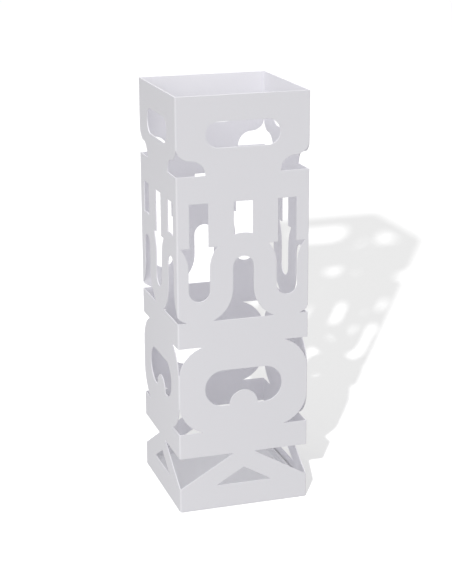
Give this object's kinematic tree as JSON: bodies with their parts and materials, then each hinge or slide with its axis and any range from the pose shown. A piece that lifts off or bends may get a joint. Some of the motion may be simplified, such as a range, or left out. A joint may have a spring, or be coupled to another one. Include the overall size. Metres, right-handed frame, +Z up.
{
  "type": "umbrella stand",
  "caption": "Square openwork umbrella stand of cut and folded sheet steel, with pierced tiers, hand slots, a floor pan, a lift-out drip tray and push-in feet.",
  "frame": {"origin": "centre of the square footprint, on the floor", "axes": "+Z up; the front face looks along -Y and +X is to the right of someone who faces it"},
  "size_m": [0.155, 0.155, 0.485],
  "materials": {
    "white_powder_coat": "satin white powder coat",
    "white_plastic": "moulded, matt",
    "grey_rubber": "matt"
  },
  "bodies": {
    "stand": {"shell_front_left": "white_powder_coat", "shell_back_right": "white_powder_coat", "seam_weld_front_right": "white_powder_coat", "seam_weld_back_left": "white_powder_coat", "floor_pan": "white_powder_coat", "pan_plug_welds": "white_powder_coat", "foot_front_left": "grey_rubber", "foot_front_right": "grey_rubber", "foot_back_left": "grey_rubber", "foot_back_right": "grey_rubber"},
    "tray": {"drip_tray": "white_plastic"}
  },
  "joints": [
    {"name": "tray_lift", "type": "slide", "parent": "stand", "child": "tray", "axis": [0, 0, 1], "range_m": [0, 0.49]}
  ]
}
